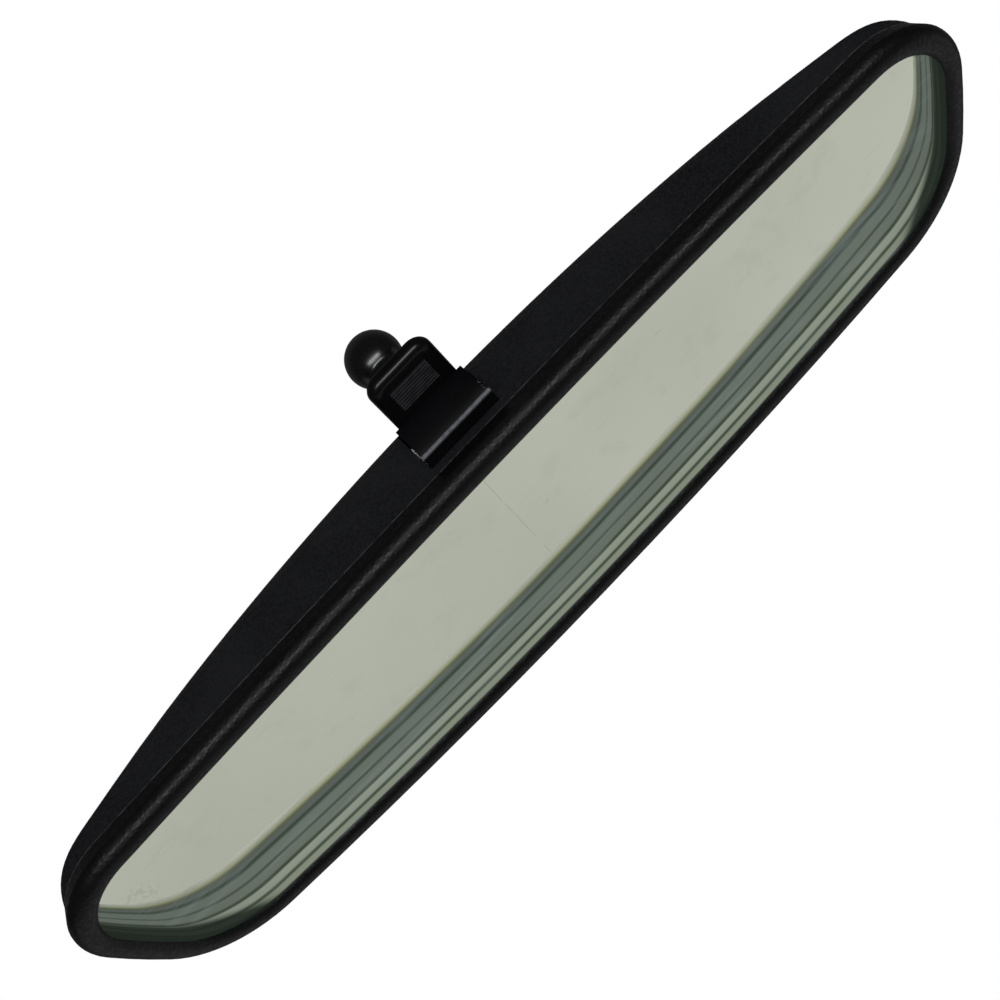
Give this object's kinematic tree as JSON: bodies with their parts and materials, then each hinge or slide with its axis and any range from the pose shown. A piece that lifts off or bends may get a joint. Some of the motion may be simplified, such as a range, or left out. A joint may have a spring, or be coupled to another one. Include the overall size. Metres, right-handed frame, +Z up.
{
  "type": "interior rearview mirror",
  "caption": "Interior rearview mirror: prismatic glass in a beaded bezel, bowed case, ball stud and a day/night lever that tilts the case.",
  "frame": {"origin": "centre of the ball that the windscreen foot clamps", "axes": "+Z up in the car, the glass faces -Y towards the driver, +X along the width to the right as the driver sees it"},
  "size_m": [0.2486, 0.0659, 0.0805],
  "materials": {
    "case_plastic": "fine matte grain, black",
    "bezel_plastic": "coarse leather-like grain, black",
    "glass": "silvered glass, faintly green",
    "silver": "silvered",
    "film": "dull grey film",
    "foam": "open foam",
    "gloss_black": "smooth satin black",
    "stud_black": "gloss black coating",
    "carrier_plastic": "glass-filled nylon, black",
    "frame_plastic": "moulded, dark grey",
    "bush_plastic": "natural acetal",
    "steel": "zinc plated",
    "spring_steel": "tempered strip",
    "rubber": "moulded rubber"
  },
  "bodies": {
    "stud": {"ball_stud": "stud_black", "stud_carrier": "carrier_plastic", "stud_washer": "steel", "stud_nut": "steel", "dust_shield": "rubber", "hinge_bushes": "bush_plastic"},
    "head": {"rear_housing": "case_plastic", "front_bezel": "bezel_plastic", "mirror_glass": "glass", "silver_coating": "silver", "backing_film": "film", "foam_cushions": "foam", "slot_trim": "gloss_black", "mechanism_frame": "frame_plastic", "frame_screws": "steel", "hinge_pin": "steel", "friction_washers": "steel", "lever_pin": "steel", "lever_spacers": "bush_plastic", "pin_retainers": "steel", "detent_spring": "spring_steel", "spring_rivets": "steel", "stop_bumpers": "rubber"},
    "lever": {"day_night_lever": "gloss_black", "drive_pin": "steel"}
  },
  "joints": [
    {"name": "tilt", "type": "hinge", "parent": "stud", "child": "head", "pos_m": [0, -0.042, 0.026], "axis": [-1, 0, 0], "range_deg": [0, 4.5]},
    {"name": "day_night", "type": "hinge", "parent": "head", "child": "lever", "pos_m": [0, -0.04, -0.017], "axis": [-1, 0, 0], "range_deg": [0, 34]}
  ],
  "couplings": [
    {"joint": "day_night", "follows": "tilt", "ratio": 7.5556}
  ]
}
